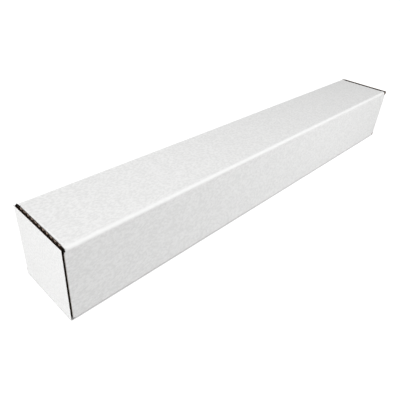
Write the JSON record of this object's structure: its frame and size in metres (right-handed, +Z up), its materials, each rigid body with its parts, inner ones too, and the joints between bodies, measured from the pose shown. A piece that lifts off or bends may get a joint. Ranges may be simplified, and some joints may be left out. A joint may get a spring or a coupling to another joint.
{
  "type": "square mailing tube",
  "caption": "Long square-section shipping tube of white corrugated board, closed at each end by a hinged flap over folded-in dust flaps.",
  "frame": {"origin": "centre of the footprint, on the surface that the tube lies on", "axes": "+Y along the tube from its near end to its far end, +X across it towards the wall that carries the far flap, +Z up"},
  "size_m": [0.0824, 0.6236, 0.0824],
  "materials": {
    "white_board": "white uncoated paper liner on corrugated board, fine mottled fibre grain",
    "kraft_core": "unbleached brown paper, as on the board's inner liner and waved medium"
  },
  "bodies": {
    "tube": {"tube": "white_board"},
    "near_flap": {"near_closure_flap": "white_board"},
    "far_flap": {"far_closure_flap": "white_board"}
  },
  "joints": [
    {"name": "near_flap_crease", "type": "hinge", "parent": "tube", "child": "near_flap", "pos_m": [-0.0405, -0.3111, 0.0412], "axis": [0, 0, -1], "range_deg": [0, 170]},
    {"name": "far_flap_crease", "type": "hinge", "parent": "tube", "child": "far_flap", "pos_m": [0.0405, 0.3111, 0.0412], "axis": [0, 0, -1], "range_deg": [0, 170]}
  ]
}
